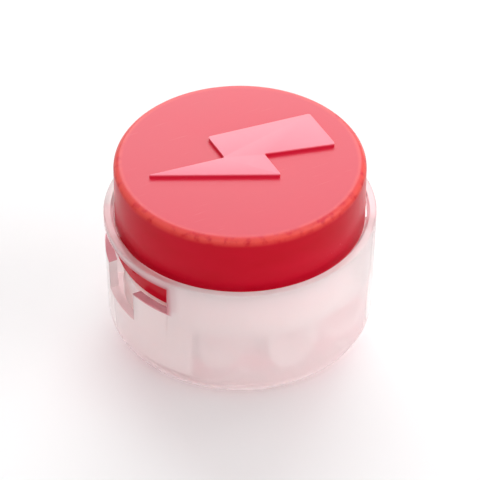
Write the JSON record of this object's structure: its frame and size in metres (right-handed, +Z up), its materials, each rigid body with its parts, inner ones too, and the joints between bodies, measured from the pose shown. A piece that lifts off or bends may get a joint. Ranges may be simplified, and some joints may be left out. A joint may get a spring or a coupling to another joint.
{
  "type": "push-button wire splice connector",
  "caption": "Small round splice connector: wires enter blind ports in a clear gel-filled housing, and pressing the red cap drives a slotted contact through their insulation.",
  "frame": {"origin": "on the cap's axis, at the underside of the housing", "axes": "+Z up through the cap; -Y is the side where the wires enter; +X completes the frame, through one of the two latch windows"},
  "size_m": [0.014, 0.0141, 0.0104],
  "materials": {
    "clear_plastic": "gloss",
    "red_plastic": "satin",
    "tinned_brass": "satin",
    "sealant": "gloss"
  },
  "bodies": {
    "housing_body": {"housing": "clear_plastic", "sealant_gel": "sealant"},
    "cap_body": {"press_cap": "red_plastic", "contact_element": "tinned_brass"}
  },
  "joints": [
    {"name": "press", "type": "slide", "parent": "housing_body", "child": "cap_body", "axis": [0, 0, -1], "range_m": [0, 0.0026], "deforming": ["sealant_gel"]}
  ]
}
